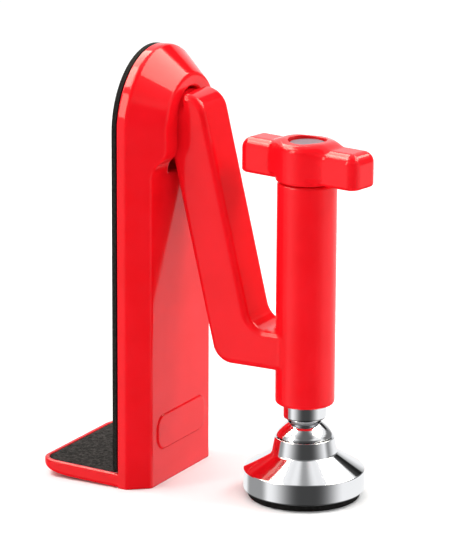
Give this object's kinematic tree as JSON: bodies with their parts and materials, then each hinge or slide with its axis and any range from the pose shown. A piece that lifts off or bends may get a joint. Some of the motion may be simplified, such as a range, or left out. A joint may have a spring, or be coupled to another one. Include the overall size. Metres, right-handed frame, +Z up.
{
  "type": "portable door brace",
  "caption": "Under-door security brace: red cast plate with a toe and rubber pad, a hinged leg, and a hand-turned screw jack with a ball-jointed chrome foot.",
  "frame": {"origin": "middle of the footprint's bounding box, on the floor", "axes": "+X from the door towards the foot, +Y sideways across the plate, +Z up"},
  "size_m": [0.1108, 0.0506, 0.1457],
  "materials": {
    "red_paint": "gloss",
    "black_rubber": "matt",
    "grip_rubber": "coarse matt",
    "chrome": "polished",
    "steel": "satin",
    "brass": "machined",
    "nylon": "matt",
    "cap_plastic": "satin"
  },
  "bodies": {
    "stand": {"body_casting": "red_paint", "door_pad": "black_rubber", "toe_grip_pad": "grip_rubber", "pivot_pin": "steel", "pin_plug_screw": "steel"},
    "arm": {"arm_casting": "red_paint", "pivot_washer": "nylon", "pivot_spring_washer": "steel", "guide_bush": "brass", "thrust_washer": "steel", "key_screw": "steel"},
    "knob": {"knob": "red_paint", "knob_washer": "nylon", "knob_screw": "steel", "knob_cap": "cap_plastic", "lead_screw": "steel", "screw_stop_clip": "steel"},
    "jack": {"jack_tube": "chrome", "jack_nut": "brass", "ball_stud": "chrome"},
    "liner": {"ball_seat": "nylon"},
    "foot": {"seat_retainer": "chrome", "foot_base": "chrome", "foot_pad": "black_rubber"}
  },
  "joints": [
    {"name": "arm_pivot", "type": "hinge", "parent": "stand", "child": "arm", "pos_m": [-0.01697, 0, 0.121], "axis": [0, 1, 0], "range_deg": [-3, 7]},
    {"name": "knob_turn", "type": "hinge", "parent": "arm", "child": "knob", "pos_m": [0.03173, 0, 0.112], "axis": [0, 0, -1], "range_deg": [-406, 3961]},
    {"name": "tube_travel", "type": "slide", "parent": "arm", "child": "jack", "axis": [0, 0, -1], "range_m": [-0.00225, 0.022]},
    {"name": "foot_swivel", "type": "hinge", "parent": "jack", "child": "liner", "pos_m": [0.03173, 0, 0.019], "axis": [0, 0, 1], "continuous": true},
    {"name": "foot_tilt", "type": "hinge", "parent": "liner", "child": "foot", "pos_m": [0.03173, 0, 0.019], "axis": [0, 1, 0], "range_deg": [-6, 6]}
  ],
  "couplings": [
    {"joint": "knob_turn", "follows": "tube_travel", "rad_per_m": 3141.6}
  ]
}
